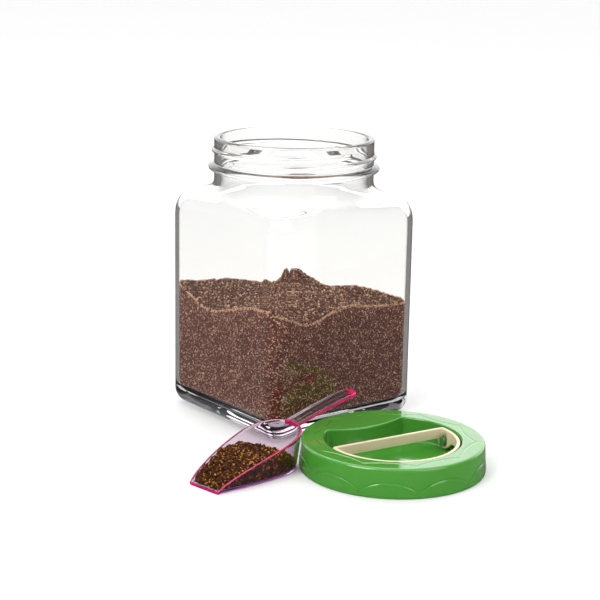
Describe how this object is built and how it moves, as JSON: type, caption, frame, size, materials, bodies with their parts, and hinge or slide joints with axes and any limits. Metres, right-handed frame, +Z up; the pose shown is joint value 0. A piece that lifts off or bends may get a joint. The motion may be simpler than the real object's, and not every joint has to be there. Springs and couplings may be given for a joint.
{
  "type": "wide-mouth storage jar",
  "caption": "Square clear-glass storage jar part-filled with brown granules, with its green screw lid with a fold-down handle and a clear pink scoop lying in front of it.",
  "frame": {"origin": "centre of the jar's base, on the table", "axes": "+Z up along the jar's axis and out of its mouth; the jar's flat sides face X and Y; the scoop lies on the -X -Y side and the lid on the -Y side"},
  "size_m": [0.201, 0.2483, 0.1852],
  "materials": {
    "clear_glass": "clear flint glass with a faint green edge, glossy",
    "granules": "loose fine brown granules with tan specks",
    "green_plastic": "glossy, slightly translucent green moulding",
    "liner_foam": "white closed-cell foam",
    "green_pin_plastic": "glossy green moulding",
    "cream_plastic": "satin cream moulding",
    "pink_acrylic": "clear acrylic tinted pink, with glowing magenta edges",
    "scoop_granules": "loose brown granules with orange-brown specks"
  },
  "bodies": {
    "jar": {"glass_jar": "clear_glass", "jar_granules": "granules"},
    "lid_seal": {"lid_liner": "liner_foam"},
    "lid": {"lid_shell": "green_plastic", "pivot_pins": "green_pin_plastic"},
    "lid_handle": {"handle": "cream_plastic"},
    "loose_scoop": {"scoop": "pink_acrylic", "scoop_granules": "scoop_granules"}
  },
  "joints": [
    {"name": "lid_slide", "type": "slide", "parent": "jar", "child": "lid_seal", "axis": [0, -1, 0], "range_m": [0, 0.15]},
    {"name": "lid_turn", "type": "hinge", "parent": "lid_seal", "child": "lid", "pos_m": [-0.0221, -0.1309, 0.009], "axis": [0, 0, 1], "continuous": true},
    {"name": "handle_fold", "type": "hinge", "parent": "lid", "child": "lid_handle", "pos_m": [-0.0221, -0.1309, 0.01], "axis": [-0.9917, 0.1288, 0], "range_deg": [0, 95]},
    {"name": "scoop_lift", "type": "slide", "parent": "jar", "child": "loose_scoop", "axis": [0, 0, 1], "range_m": [0, 0.2]}
  ]
}
